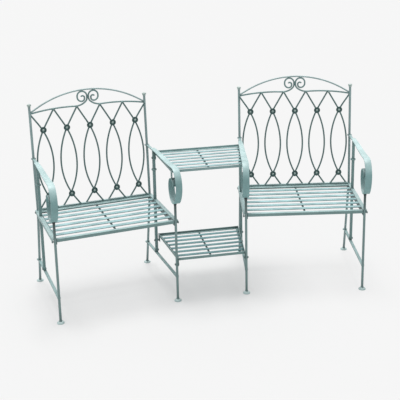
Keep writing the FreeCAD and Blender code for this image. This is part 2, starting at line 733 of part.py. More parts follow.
def build_panel(posts):
    """The back between the posts: its rails, arch, lattice and rosettes, by name."""
    rail = back_rail(posts)
    arch = back_arch(posts)
    volute, drop, run = scroll_walks()
    scroll = scroll_rail(volute, drop, run, arch, posts)
    rail_edges = edges_along(drop[-1:] + run, on_panel)
    wide = 2 * HALF_WIDTH
    below = box(-wide, wide, 0, wide, 0, SEAT_HEIGHT + BACK_RAIL_SIZE / 2)
    stops = posts + both_sides(scroll) + [below]
    front_rods = [lattice_rod(column, -1, rail_edges, stops) for column in range(COLUMNS)]
    back_rods = [lattice_rod(column, 1, rail_edges, stops + front_rods)
                 for column in range(COLUMNS)]
    discs, rivets = rosettes(front_rods)
    return {
        "back_rail": [rail],
        "back_arch": [arch],
        "scroll_rails": both_sides(scroll),
        "lattice_front_rods": front_rods,
        "lattice_back_rods": back_rods,
        "rosettes": discs,
        "rosette_rivets": rivets,
    }


def build_side():
    """The pieces of one side frame, as drawn for the side at positive x, by name."""
    over, curl = arm_walks()
    top_edges = edges_along(over[-2:], in_side_frame)
    front_foot = dome(FOOT_DIAMETER, FOOT_HEIGHT, FOOT_RIM, vec(HALF_WIDTH, FRONT_LEG_Y, 0))
    back_foot = dome(FOOT_DIAMETER, FOOT_HEIGHT, FOOT_RIM, vec(HALF_WIDTH, post_y(0), 0))
    cap = finial()
    bolts = seat_bolts()
    foot_bolt, foot_nut = upright_fastener()
    arm = arm_strip(over, curl)
    leg = cut_by(front_leg(SCROLL_BOTTOM), [front_foot] + bolts)
    post = cut_by(back_post(), [back_foot, cap] + bolts)
    bar = upright(arm, top_edges)
    nut = hexagon(LEG_NUT_WIDTH, LEG_NUT_HEIGHT + ARM_THICKNESS / 2,
                  vec(HALF_WIDTH, FRONT_LEG_Y, SCROLL_BOTTOM - LEG_NUT_HEIGHT))
    return {
        "front_leg": [leg],
        "back_post": [post],
        "arm": [arm],
        "upright": [cut_by(bar, [foot_bolt])],
        "stretchers": [stretcher(leg, post)],
        "seat_angles": [seat_angle([leg, post, bar] + bolts)],
        "arm_links": [arm_link(arm, bar, post, top_edges)],
        "collars": [collar(bar)],
        "leg_nuts": [cut_by(nut, [arm])],
        "feet": [front_foot, back_foot],
        "finials": [cap],
        "seat_bolts": bolts,
        "upright_bolts": [foot_bolt],
        "nuts": [foot_nut],
    }


def build_seat(side, rail):
    """The seat between the side frames, by name."""
    neighbours = [rail] + side["front_leg"] + side["back_post"] + side["seat_bolts"]
    return {
        "seat_side_rails": both_sides(seat_side_rail(neighbours)),
        "seat_cross_rails": seat_cross_rails(),
        "seat_slats": seat_slats(),
        "seat_centre_bar": [seat_centre_bar()],
    }


def build_shelves(inner):
    """Both shelves and their fasteners, by name, for the right half of the bench.

    inner holds the pieces of the right chair's inner side frame, in the bench's frame. Its leg
    and upright get the holes for the fasteners.
    """
    leg_offset = ROD_RADIUS - SEATING
    face_offset = UPRIGHT_OFFSET + UPRIGHT_SIZE / 2
    lower = Shelf(LOWER_SHELF_TOP, leg_offset, face_offset + LOWER_SHELF_GAP)
    upper = Shelf(UPPER_SHELF_TOP, UPPER_SHELF_FRONT_OFFSET, face_offset)
    fasteners = [lower.bolt_at(lower.front_mark, 2 * leg_offset),
                 lower.bolt_at(lower.rear_mark, LOWER_SHELF_GAP + UPRIGHT_SIZE),
                 upper.bolt_at(upper.rear_mark, UPRIGHT_SIZE)]
    bolts = [shank for shank, nut in fasteners]
    inner["front_leg"] = [cut_by(inner["front_leg"][0], bolts)]
    inner["upright"] = [cut_by(inner["upright"][0], bolts)]
    held_by = inner["front_leg"] + inner["upright"] + inner["arm"] + bolts
    lower_tabs = [(lower.front_mark[1] - TAB_NOSE, TAB_DROP), (lower.rear_tab_y(), TAB_DROP)]
    upper_tabs = [(SHELF_FRONT_Y, upper.base - SCROLL_BOTTOM), (upper.rear_tab_y(), TAB_DROP)]
    parts = {
        "shelf_bolts": bolts,
        "nuts": [cut_by(nut, inner["front_leg"]) for shank, nut in fasteners],
    }
    for name, shelf, tabs in (("lower", lower, lower_tabs), ("upper", upper, upper_tabs)):
        parts[name + "_shelf_side_rails"] = [shelf.side_rail(tabs, held_by)]
        parts[name + "_shelf_cross_rails"] = shelf.cross_rails()
        parts[name + "_shelf_slats"] = shelf.slats()
        parts[name + "_shelf_centre_bar"] = [shelf.centre_bar()]
    lower_rail = parts["lower_shelf_side_rails"]
    parts["shelf_spacers"] = [lower.spacer(LOWER_SHELF_GAP, lower_rail + bolts)]
    return parts


def build():
    """Every sub-part of the bench in its own frame, as lists of solids by name."""
    side = build_side()
    panel = build_panel(both_sides(side["back_post"][0]))
    seat = build_seat(side, panel["back_rail"][0])
    outer = {name: [in_bench(piece) for piece in side[name]] for name in side}
    inner = {name: [in_bench(mirrored(piece)) for piece in side[name]] for name in side}
    middle = {name: [in_bench(piece) for piece in pieces]
              for name, pieces in {**panel, **seat}.items()}
    shelves = build_shelves(inner)
    right = {}
    shared = {}
    for name in side:
        if name in SINGLE_PIECES:
            right["outer_" + name] = outer[name]
            right["inner_" + name] = inner[name]
        elif name in CHAIR_PAIRS:
            right[name] = outer[name] + inner[name]
        else:
            shared[name] = outer[name] + inner[name]
    for name, pieces in middle.items():
        (shared if name in SHARED_BY_CHAIRS else right)[name] = pieces
    parts = {}
    for name, pieces in right.items():
        parts["right_" + name] = pieces
        parts["left_" + name] = [mirrored(piece) for piece in pieces]
    for name, pieces in shelves.items():
        if name.startswith(SHELF_NAMES) and not name.endswith("side_rails"):
            parts[name] = pieces
        else:
            shared[name] = shared.get(name, []) + pieces
    for name, pieces in shared.items():
        parts[name] = pieces + [mirrored(piece) for piece in pieces]
    return parts


def centred(parts):
    """The same sub-parts, moved so that the bench's middle in depth is at y = 0."""
    solids = [solid for pieces in parts.values() for solid in pieces]
    reach = Part.makeCompound(solids).optimalBoundingBox(False, False)
    shift = vec(0, -(reach.YMin + reach.YMax) / 2, 0)
    print("shift in y", shift.y, "size", reach.XLength, reach.YLength, reach.ZLength)
    return {name: [solid.translated(shift) for solid in pieces]
            for name, pieces in parts.items()}


if __name__ == "__main__":
    os.makedirs("parts", exist_ok=True)
    bench = centred(build())
    for name, solids in bench.items():
        print(name, len(solids), all(solid.isValid() for solid in solids))
        Part.makeCompound(solids).exportStep("parts/" + name + ".step")
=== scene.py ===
import json
import logging
import math
from collections.abc import Callable
from dataclasses import dataclass, field
from enum import Enum

import bmesh
import bpy
import numpy
from mathutils import Color, Matrix, Vector, noise


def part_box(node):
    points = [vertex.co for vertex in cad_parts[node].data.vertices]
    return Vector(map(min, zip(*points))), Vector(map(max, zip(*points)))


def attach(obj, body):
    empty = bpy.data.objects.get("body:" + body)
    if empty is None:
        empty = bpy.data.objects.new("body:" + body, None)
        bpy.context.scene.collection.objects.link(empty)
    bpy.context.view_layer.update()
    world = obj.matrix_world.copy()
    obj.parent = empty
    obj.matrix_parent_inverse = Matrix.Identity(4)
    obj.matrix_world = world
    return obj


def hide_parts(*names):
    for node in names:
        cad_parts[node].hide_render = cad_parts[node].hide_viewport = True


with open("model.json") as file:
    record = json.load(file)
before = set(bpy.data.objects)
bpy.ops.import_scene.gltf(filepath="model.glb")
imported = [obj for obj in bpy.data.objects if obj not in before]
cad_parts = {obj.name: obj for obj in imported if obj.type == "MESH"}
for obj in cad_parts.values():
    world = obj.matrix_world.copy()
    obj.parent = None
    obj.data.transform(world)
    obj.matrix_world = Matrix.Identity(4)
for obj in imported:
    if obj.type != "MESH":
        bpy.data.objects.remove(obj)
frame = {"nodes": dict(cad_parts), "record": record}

log = logging.getLogger("companion_seat")

Shown = tuple[int, int, int]
Colour = tuple[float, float, float]
Grain = tuple[float, float, float]
Point = tuple[float, float]
Profile = list[Point]
Span = tuple[float, float]
Sweep = tuple[float, float, int]
Socket = bpy.types.NodeSocket

BODY = "root"
MILLIMETRE = 0.001
SAME_PLACE = 1e-6
UP = Vector((0, 0, 1))
FORWARD = Vector((0, -1, 0))
SIDEWAYS = Vector((1, 0, 0))
FULL_TURN = 2 * math.pi
BRIGHTEST = 255


def linear(shown: Shown) -> Colour:
    """Turns a colour as a screen shows it into the linear values that shaders take.

    Args:
        shown: Red, green and blue, 0 to 255.

    Returns:
        Red, green and blue, 0 to 1.
    """
    return tuple(Color(part / BRIGHTEST for part in shown).from_srgb_to_scene_linear())


@dataclass(frozen=True)
class Ramp:
    """A value that changes while another one goes from a start to an end.

    Attributes:
        start: Where the change starts.
        end: Where it stops.
        low: The value at the start and before it.
        high: The value at the end and past it.
    """

    start: float
    end: float
    low: float = 0.0
    high: float = 1.0


class NodeSketch:
    """Adds shader nodes and joins them, in a few words for each.

    Attributes:
        tree: The material's or the world's own tree of nodes.
        COLOUR_MIX_INPUTS: Numbers of a colour mix's share and of its two colours.
        COLOUR_MIX_OUTPUT: Number of its result.
    """

    COLOUR_MIX_INPUTS = (0, 6, 7)
    COLOUR_MIX_OUTPUT = 2

    def __init__(self, owner: bpy.types.Material | bpy.types.World) -> None:
        """Starts from an empty tree.

        Args:
            owner: The material or world that the nodes are for.
        """
        owner.use_nodes = True
        self.tree = owner.node_tree
        self.tree.nodes.clear()

    def add(self, kind: str, inputs: dict[str | int, object] | None = None,
            **settings: object) -> bpy.types.Node:
        """Adds a node.

        Args:
            kind: The node's type name, without the words that all of them start with.
            inputs: Socket name or number to a value, or to a socket to link from.
            **settings: Properties of the node itself.

        Returns:
            The new node.
        """
        node = self.tree.nodes.new("ShaderNode" + kind)
        for name, value in settings.items():
            setattr(node, name, value)
        for key, value in (inputs or {}).items():
            if isinstance(value, Socket):
                self.tree.links.new(value, node.inputs[key])
            else:
                node.inputs[key].default_value = value
        return node

    def remap(self, value: Socket, ramp: Ramp) -> Socket:
        """Sends a value through a ramp.

        Args:
            value: The socket to read.
            ramp: How the result changes with it.

        Returns:
            The result's socket.
        """
        node = self.add("MapRange", {"Value": value, "From Min": ramp.start, "From Max": ramp.end,
                                     "To Min": ramp.low, "To Max": ramp.high})
        return node.outputs["Result"]

    def math(self, operation: str, first: object, second: object) -> Socket:
        """The result of a sum on two sockets or numbers."""
        return self.add("Math", {0: first, 1: second}, operation=operation).outputs["Value"]

    def product(self, *factors: object) -> Socket:
        """Multiplies sockets and numbers.

        Args:
            *factors: What is multiplied, a socket first.

        Returns:
            The product's socket.
        """
        result = factors[0]
        for factor in factors[1:]:
            result = self.math("MULTIPLY", result, factor)
        return result

    def part(self, value: Socket, axis: str) -> Socket:
        """One of the three numbers of a vector's socket."""
        return self.add("SeparateXYZ", {"Vector": value}).outputs[axis]

    def place(self) -> Socket:
        """The place of a point, in the bench's frame."""
        return self.add("TexCoord").outputs["Object"]

    def spread(self, grain: Grain, place: Socket) -> Socket:
        """Spreads a random pattern over a piece.

        Args:
            grain: The pattern's swells to a metre, how many finer layers lie on them, and how
                strong those are.
            place: The place of a point on the piece.

        Returns:
            The pattern, about 0.3 to 0.7.
        """
        scale, detail, roughness = grain
        node = self.add("TexNoise", {"Vector": place, "Scale": scale, "Detail": detail,
                                     "Roughness": roughness})
        return node.outputs["Fac"]

    def straight_sight(self) -> Socket:
        """Tells what the camera sees, straight or in a gloss, from what only lights the bench.

        Returns:
            The socket of a one or a nought.
        """
        path = self.add("LightPath").outputs
        reflected = self.math("MAXIMUM", path["Is Glossy Ray"], path["Is Transmission Ray"])
        return self.math("MAXIMUM", path["Is Camera Ray"], reflected)

    def blend(self, share: object, first: object, second: object,
              mode: str = "MIX") -> Socket:
        """Mixes two colours.

        Args:
            share: How much of the second, as a number or a socket.
            first: A colour or a socket.
            second: A colour or a socket.
            mode: The way of mixing.

        Returns:
            The mixed colour's socket.
        """
        node = self.add("Mix", data_type="RGBA", blend_type=mode)
        factor, one, other = (node.inputs[number] for number in self.COLOUR_MIX_INPUTS)
        for entry, value in ((factor, share), (one, first), (other, second)):
            if isinstance(value, Socket):
                self.tree.links.new(value, entry)
            else:
                entry.default_value = value if entry == factor else (*value, 1.0)
        return node.outputs[self.COLOUR_MIX_OUTPUT]

    def either(self, share: object, first: bpy.types.Node,
               second: bpy.types.Node) -> bpy.types.Node:
        """Mixes two shaders.

        Args:
            share: How much of the second there is, as a number or a socket.
            first: A shader's node.
            second: Another shader's node.

        Returns:
            The mixed shader's node.
        """
        return self.add("MixShader", {0: share, 1: first.outputs[0], 2: second.outputs[0]})


@dataclass(frozen=True)
class AgeingAndPaintedLight:
    """What sun, rain, dust and hands do to every paint of the bench, with the painted light from
    above and the painted shade in nooks and under the arm's scroll.

    Attributes:
        cloud: The pattern of the broad patches.
        fleck: That of the small marks.
        peel: That of the fine orange peel of sprayed paint.
        light_from_above: Painted light from above, as the share of a face turned paler by how far
            it looks up.
        patches: The share of it that stays, by the patches.
        edge_radius: How near an edge paint rubs off, in metres.
        edge_rays: How many directions are tried for the edges.
        edges: The rubbing near an edge, by the cosine of its bend.
        scuffs: The share of it that stays, by the flecks.
        dust: The paint's brightness, by the patches.
        specks: Its brightness, by the flecks.
        nook_reach: How far round a point other surfaces are sought for the painted shade in
            nooks, in metres.
        nook_rays: How many directions are tried for them.
        nook_open: The open shares of those directions at which the painted shade is full and
            gone.
        scroll_shadow_blur: How softly the painted shadow under the arm's scroll starts, in
            metres.
        scroll_shadow_shades: How much that painted shadow darkens the paint at its foot and head.
        gloss: The change of the paint's roughness, by the flecks.
        peel_share: Height of the orange peel, as a share of that of the flecks.
        bump: Strength of both.
        bending: The paint's index of refraction.
    """

    cloud: Grain = (14.0, 6.0, 0.62)
    fleck: Grain = (160.0, 5.0, 0.7)
    peel: Grain = (620.0, 2.0, 0.5)
    light_from_above: Ramp = Ramp(0.15, 0.95)
    patches: Ramp = Ramp(0.36, 0.62, 0.72, 1.0)
    edge_radius: float = 1.1 * MILLIMETRE
    edge_rays: int = 4
    edges: Ramp = Ramp(0.995, 0.93)
    scuffs: Ramp = Ramp(0.38, 0.62, 0.25, 1.0)
    dust: Ramp = Ramp(0.3, 0.7, 0.86, 1.08)
    specks: Ramp = Ramp(0.3, 0.72, 0.93, 1.05)
    nook_reach: float = 90 * MILLIMETRE
    nook_rays: int = 6
    nook_open: Span = (0.5, 0.95)
    scroll_shadow_blur: float = 4 * MILLIMETRE
    scroll_shadow_shades: Span = (0.25, 0.76)
    gloss: Ramp = Ramp(0.25, 0.75, -0.07, 0.1)
    peel_share: float = 0.6
    bump: float = 0.35
    bending: float = 1.48


@dataclass(frozen=True)
class Paint:
    """A coat of satin paint on steel, rubbed paler at its edges, with painted light on faces that
    look up and painted shade in nooks and under the arm's scroll.

    Attributes:
        coat: The paint's own colour.
        lit_and_worn: The paler colour of rubbed edges, also laid as painted light on what faces
            up.
        top_light_share: How far what faces up turns to the paler colour as painted light, 0 to 1.
        edge_wear: How far the edges turn to it, 0 to 1.
        roughness: The middle of the paint's roughness.
        grain: Height of the brush marks and orange peel, in metres.
        nook_shade: How far painted shade darkens the paint inside curls and close to other parts,
            0 to 1.
        scroll_shadow: The lowest and highest level of the painted shadow under the arm's curl, in
            metres.
        ageing_and_light: What the years did to it, with the painted light and shade.
    """

    coat: Shown
    lit_and_worn: Shown
    top_light_share: float = 0.5
    edge_wear: float = 0.5
    roughness: float = 0.42
    grain: float = 0.12 * MILLIMETRE
    nook_shade: float = 0.0
    scroll_shadow: Span | None = None
    ageing_and_light: AgeingAndPaintedLight = AgeingAndPaintedLight()

    def top_light_and_rubbing(self, sketch: NodeSketch, cloud: Socket, fleck: Socket,
                 rounded: Socket) -> Socket:
        """Works out how far each point turns to the paler colour: painted light where it faces
        up, and rubbing at edges.

        Args:
            sketch: The material's nodes.
            cloud: The broad patches.
            fleck: The small marks.
            rounded: The direction that a point would face if edges were round.

        Returns:
            The share of painted top light and of rubbing.
        """
        ageing_and_light = self.ageing_and_light
        facing = sketch.add("NewGeometry").outputs["Normal"]
        # Painted light: faces that look up turn towards the paler colour.
        top = sketch.remap(sketch.part(facing, "Z"), ageing_and_light.light_from_above)
        turn = sketch.add("VectorMath", {0: facing, 1: rounded}, operation="DOT_PRODUCT")
        edge = sketch.remap(turn.outputs["Value"], ageing_and_light.edges)
        return sketch.math(
            "MAXIMUM", sketch.product(top, sketch.remap(cloud, ageing_and_light.patches), self.top_light_share),
            sketch.product(edge, sketch.remap(fleck, ageing_and_light.scuffs), self.edge_wear))

    def shade(self, sketch: NodeSketch, place: Socket, cloud: Socket, fleck: Socket) -> Socket:
        """Works out how bright dust leaves each point, with painted shade in nooks and a painted
        shadow under the arm's scroll.

        Args:
            sketch: The material's nodes.
            place: The place of a point.
            cloud: The broad patches.
            fleck: The small marks.

        Returns:
            The factor that the paint's colour takes.
        """
        ageing_and_light = self.ageing_and_light
        factors = [sketch.remap(cloud, ageing_and_light.dust), sketch.remap(fleck, ageing_and_light.specks)]
        # Painted shade: ambient occlusion darkens nooks, curls and joints.
        if self.nook_shade:
            open_share = sketch.add("AmbientOcclusion", {"Distance": ageing_and_light.nook_reach},
                                    samples=ageing_and_light.nook_rays).outputs["AO"]
            factors.append(sketch.remap(open_share, Ramp(*ageing_and_light.nook_open, 1 - self.nook_shade)))
        # Painted shadow: a band just below the arm's scroll is darkened.
        if self.scroll_shadow:
            foot, blur = self.scroll_shadow[0], ageing_and_light.scroll_shadow_blur
            level = sketch.part(place, "Z")
            inside = sketch.remap(level, Ramp(foot - blur, foot + blur))
            depth = sketch.remap(level, Ramp(*self.scroll_shadow, *ageing_and_light.scroll_shadow_shades))
            factors.append(sketch.math("SUBTRACT", 1.0, sketch.product(inside, depth)))
        return sketch.product(*factors)

    def material(self, name: str) -> bpy.types.Material:
        """Builds the paint from random patterns on the piece's own coordinates.

        Args:
            name: The material's name.

        Returns:
            The paint's material.
        """
        made = bpy.data.materials.new(name)
        sketch, ageing_and_light = NodeSketch(made), self.ageing_and_light
        place = sketch.place()
        cloud, fleck, peel = (sketch.spread(grain, place)
                              for grain in (ageing_and_light.cloud, ageing_and_light.fleck, ageing_and_light.peel))
        rounded = sketch.add("Bevel", {"Radius": ageing_and_light.edge_radius},
                             samples=ageing_and_light.edge_rays).outputs["Normal"]
        # The paler colour comes in as painted light on faces that look up and as rubbing at
        # edges.
        body = sketch.blend(self.top_light_and_rubbing(sketch, cloud, fleck, rounded), linear(self.coat),
                            linear(self.lit_and_worn))
        shade = self.shade(sketch, place, cloud, fleck)
        tone = sketch.add("CombineXYZ", {"X": shade, "Y": shade, "Z": shade})
        colour = sketch.blend(1.0, body, tone.outputs["Vector"], "MULTIPLY")
        gloss = sketch.math("ADD", sketch.remap(fleck, ageing_and_light.gloss), self.roughness)
        height = sketch.math("ADD", sketch.product(peel, ageing_and_light.peel_share), fleck)
        bump = sketch.add("Bump", {"Height": height, "Strength": ageing_and_light.bump,
                                   "Distance": self.grain, "Normal": rounded})
        skin = sketch.add("BsdfPrincipled", {"Base Color": colour, "Roughness": gloss,
                                             "IOR": ageing_and_light.bending, "Metallic": 0.0,
                                             "Normal": bump.outputs["Normal"]})
        sketch.add("OutputMaterial", {"Surface": skin.outputs["BSDF"]})
        return made


class Finish(Enum):
    """The paints of the bench, by where they are."""

    # Paler second colours are painted light on faces that look up and the colour of rubbed edges;
    # darkening in nooks and joints is painted shade.
    FRAME = Paint((124, 154, 152), (181, 209, 208), top_light_share=0.8, nook_shade=0.45)
    # Front legs: a painted shadow band just below the arm's scroll.
    LEG = Paint((128, 154, 152), (185, 210, 209), top_light_share=0.8, nook_shade=0.45, scroll_shadow=(0.42, 0.5))
    POST = Paint((144, 168, 167), (196, 217, 216), top_light_share=0.8, nook_shade=0.45)
    RAIL = Paint((143, 173, 172), (197, 221, 220), top_light_share=0.8)
    LATTICE = Paint((97, 125, 123), (146, 176, 175), top_light_share=0.4)
    ARCH = Paint((154, 175, 174), (207, 225, 224), top_light_share=0.7)
    ROSETTE = Paint((62, 92, 90), (124, 155, 152), top_light_share=0.45)
    FOOT = Paint((167, 193, 191), (219, 236, 234), top_light_share=0.9)
    # Slats: the dark coat on their edges and the pale tops are painted shade and painted light.
    SLAT = Paint((68, 104, 105), (172, 209, 211), top_light_share=0.95, edge_wear=0.0)
    # Seat side rails: the dark colours and strong nook darkening are painted shade between the
    # slats.
    SIDE = Paint((84, 115, 115), (120, 151, 151), top_light_share=0.6, nook_shade=0.85)
    # Lower shelf slats: darkened as the painted shadow of the upper shelf.
    SHADED_SLAT = Paint((82, 128, 130), (122, 171, 174), top_light_share=0.9, nook_shade=0.45)
    # Arms: the pale tops are painted light and the darkening inside the curls is painted shade.
    ARM = Paint((133, 171, 170), (204, 228, 227), top_light_share=0.95, edge_wear=0.7, nook_shade=0.7)
    PALE = Paint((170, 188, 182), (222, 230, 226), top_light_share=0.8)
    # Near-black nuts under the arm's scroll: partly their own dark finish, partly painted shade.
    DARK = Paint((28, 40, 42), (60, 76, 78), top_light_share=0.3)
    # Centre bars under the slats: darkened as painted shade cast by the slats above them.
    SHELTERED = Paint((58, 76, 76), (80, 98, 98), top_light_share=0.1)
    BOLT = Paint((92, 112, 112), (176, 192, 190), top_light_share=0.5, roughness=0.36)


@dataclass
class PaintShop:
    """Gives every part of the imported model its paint.

    Attributes:
        jobs: The record's material slot to the paint for it.
        own: A part of a name to the paint for such parts, before the slot's.
        mixed: The materials made so far.
    """

    jobs: dict[str, Finish] = field(default_factory=lambda: {
        "frame_paint": Finish.FRAME, "slat_paint": Finish.SLAT, "arm_paint": Finish.ARM,
        "pale_paint": Finish.PALE, "dark_fittings": Finish.DARK, "bolt_steel": Finish.BOLT,
        "sheltered_paint": Finish.SHELTERED, "lattice_paint": Finish.LATTICE,
        "arch_paint": Finish.ARCH, "rosette_paint": Finish.ROSETTE,
        "foot_paint": Finish.FOOT})
    own: dict[str, Finish] = field(default_factory=lambda: {
        "front_leg": Finish.LEG, "back_rail": Finish.RAIL, "back_post": Finish.POST,
        "upper_shelf_cross_rails": Finish.RAIL, "lower_shelf_slats": Finish.SHADED_SLAT,
        "seat_side_rails": Finish.SIDE, "seat_angles": Finish.RAIL})
    mixed: dict[Finish, bpy.types.Material] = field(default_factory=dict)

    def paint(self, finish: Finish) -> bpy.types.Material:
        """Mixes a finish, once.

        Args:
            finish: The finish.

        Returns:
            Its material.
        """
        if finish not in self.mixed:
            self.mixed[finish] = finish.value.material(finish.name.lower() + "_paint")
        return self.mixed[finish]

    def build(self) -> list[bpy.types.Object]:
        """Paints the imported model's parts.

        Returns:
            The parts.
        """
        slots = {part["node"]: part["material_slot"] for part in frame["record"]["subparts"]}
        for name, part in frame["nodes"].items():
            finishes = [finish for word, finish in self.own.items() if word in name]
            finishes.append(self.jobs[slots[name]])
            for slot in part.material_slots:
                slot.material = self.paint(finishes[0])
        return list(frame["nodes"].values())


@dataclass(frozen=True)
class Turned:
    """Where a round piece stands.

    Attributes:
        foot: The middle of its lower end.
        axis: The direction from its lower end to its upper one.
        length: The distance between its ends.
        radius: Its largest radius.
    """

    foot: Vector
    axis: Vector
    length: float
    radius: float

    def placement(self) -> Matrix:
        """The matrix that takes a shape drawn up from the origin to this place."""
        turn = self.axis.to_track_quat("Z", "Y").to_matrix().to_4x4()
        return Matrix.Translation(self.foot) @ turn

    def upside_down(self) -> "Turned":
        """The same place with its ends changed over."""
        return Turned(self.foot + self.axis * self.length, -self.axis, self.length, self.radius)


def islands(mesh: bmesh.types.BMesh) -> numpy.ndarray:
    """Numbers the parts of a mesh that hang together.

    Args:
        mesh: The mesh, with its corners numbered in order.

    Returns:
        For each corner, the number of the part that it is in.
    """
    group = [-1] * len(mesh.verts)
    count = 0
    for first in mesh.verts:
        if group[first.index] >= 0:
            continue
        waiting = [first]
        group[first.index] = count
        while waiting:
            for edge in waiting.pop().link_edges:
                for corner in edge.verts:
                    if group[corner.index] < 0:
                        group[corner.index] = count
                        waiting.append(corner)
        count += 1
    return numpy.array(group)


def box_middle(points: numpy.ndarray) -> numpy.ndarray:
    """The middle of the box round some points."""
    return (points.min(axis=0) + points.max(axis=0)) / 2


@dataclass(frozen=True)
class Solid:
    """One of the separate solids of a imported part.

    Attributes:
        points: Its corners, one to a row.
        edges: The numbers of each edge's two corners.
        faces: Each face's normal times its area.
        STRETCH: Length of the short stretch of a rod that is measured.
        LEAST_AREA: The area below which a face counts as none.
    """

    points: numpy.ndarray
    edges: numpy.ndarray
    faces: numpy.ndarray

    STRETCH = 4 * MILLIMETRE
    LEAST_AREA = 1e-15

    @staticmethod
    def all_of(node: str) -> list["Solid"]:
        """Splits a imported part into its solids.

        Args:
            node: The part's name.

        Returns:
            The solids, in the order of the part's corners.
        """
        mesh = bmesh.new()
        mesh.from_mesh(frame["nodes"][node].data)
        bmesh.ops.remove_doubles(mesh, verts=mesh.verts, dist=SAME_PLACE)
        mesh.verts.index_update()
        owner = islands(mesh)
        points = numpy.array([corner.co for corner in mesh.verts])
        edges = numpy.array([[corner.index for corner in edge.verts] for edge in mesh.edges])
        faces = numpy.array([face.normal * face.calc_area() for face in mesh.faces])
        face_owner = owner[[face.verts[0].index for face in mesh.faces]]
        mesh.free()
        solids = []
        for number in range(owner.max() + 1):
            mine = numpy.flatnonzero(owner == number)
            place = numpy.full(len(points), -1)
            place[mine] = numpy.arange(len(mine))
            own_edges = place[edges[owner[edges[:, 0]] == number]]
            solids.append(Solid(points[mine], own_edges, faces[face_owner == number]))
        return solids

    def turned(self, toward: Vector) -> Turned:
        """Measures a disc, bolt or nut. Its axis is the direction across which it is most even.

        Args:
            toward: A direction near which its upper end looks.

        Returns:
            Its place, length and radius.
        """
        areas = numpy.linalg.norm(self.faces, axis=1)
        spread = (self.faces.T / numpy.maximum(areas, self.LEAST_AREA)) @ self.faces
        _, directions = numpy.linalg.eigh(spread)
        extents = numpy.ptp(self.points @ directions, axis=0)
        uneven = [abs(math.log(extents[number - 1] / extents[number - 2])) for number in range(3)]
        number = int(numpy.argmin(uneven))
        axis, side = directions[:, number], directions[:, number - 1]
        if axis @ numpy.array(toward) < 0:
            axis = -axis
        basis = numpy.array([side, numpy.cross(axis, side), axis])
        local = self.points @ basis.T
        centre = box_middle(local)
        centre[2] = local[:, 2].min()
        radius = numpy.linalg.norm(local[:, :2] - centre[:2], axis=1).max()
        return Turned(Vector(basis.T @ centre), Vector(axis), float(numpy.ptp(local[:, 2])),
                      float(radius))

    def section(self, direction: Vector, level: float) -> Vector:
        """Cuts the solid by a plane across a direction.

        Args:
            direction: The direction.
            level: How far the plane lies along it, from the origin.

        Returns:
            The middle of the cut.
        """
        heights = self.points @ numpy.array(direction) - level
        first, second = self.edges.T
        crossing = heights[first] * heights[second] < 0
        first, second = first[crossing], second[crossing]
        share = heights[first] / (heights[first] - heights[second])
        cut = self.points[first] + (self.points[second] - self.points[first]) * share[:, None]
        return Vector(box_middle(cut))

    def rod_near(self, direction: Vector, level: float, radius: float) -> Turned:
        """Measures a short stretch of a rod where it passes a plane across a direction.

        Args:
            direction: The direction.
            level: How far the plane lies along it, from the origin.
            radius: The rod's radius.

        Returns:
            The stretch, with its foot in the plane.
        """
        here = self.section(direction, level)
        there = self.section(direction, level + self.STRETCH)
        return Turned(here, (there - here).normalized(), (there - here).length, radius)

    def rod_end(self, direction: Vector, inset: float, radius: float) -> Turned:
        """Measures a short stretch of a rod near one of its ends.

        Args:
            direction: The direction in which the end lies.
            inset: The distance from the end.
            radius: The rod's radius.

        Returns:
            The stretch, that far in.
        """
        end = float((self.points @ numpy.array(direction)).max())
        return self.rod_near(-direction, inset - end, radius)


def places_of(node: str, toward: Vector) -> list[Turned]:
    """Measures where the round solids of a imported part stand, which are all alike.

    Args:
        node: The part's name.
        toward: A direction near which their upper ends look.

    Returns:
        Their places, each with the first one's size.
    """
    places = [solid.turned(toward) for solid in Solid.all_of(node)]
    length, radius = places[0].length, places[0].radius
    return [Turned(place.foot, place.axis, length, radius) for place in places]


def arc(centre: Point, radii: Point, sweep: Sweep) -> Profile:
    """Points of an elliptical arc in a profile.

    Args:
        centre: The ellipse's middle, as a radius and a height.
        radii: Its half width and half height.
        sweep: The first and last angle, in degrees from straight outward with upward positive,
            and how many runs lie between them.

    Returns:
        The points, both ends among them.
    """
    start, end, runs = sweep
    turns = [math.radians(start + (end - start) * step / runs) for step in range(runs + 1)]
    return [(centre[0] + radii[0] * math.cos(turn), centre[1] + radii[1] * math.sin(turn))
            for turn in turns]


def lathe(profile: Profile, steps: int) -> bmesh.types.BMesh:
    """Spins a profile about the z axis.

    Args:
        profile: Points as a radius and a height, from one end to the other.
        steps: How many facets it has round the axis.

    Returns:
        The shape, open where the profile ends off the axis.
    """
    shape = bmesh.new()
    line = [shape.verts.new((radius, 0, height)) for radius, height in profile]
    runs = [shape.edges.new(pair) for pair in zip(line, line[1:])]
    bmesh.ops.spin(shape, geom=line + runs, cent=(0, 0, 0), axis=UP, dvec=(0, 0, 0),
                   angle=FULL_TURN, steps=steps, use_merge=True)
    bmesh.ops.remove_doubles(shape, verts=shape.verts, dist=SAME_PLACE)
    bmesh.ops.recalc_face_normals(shape, faces=shape.faces)
    return shape


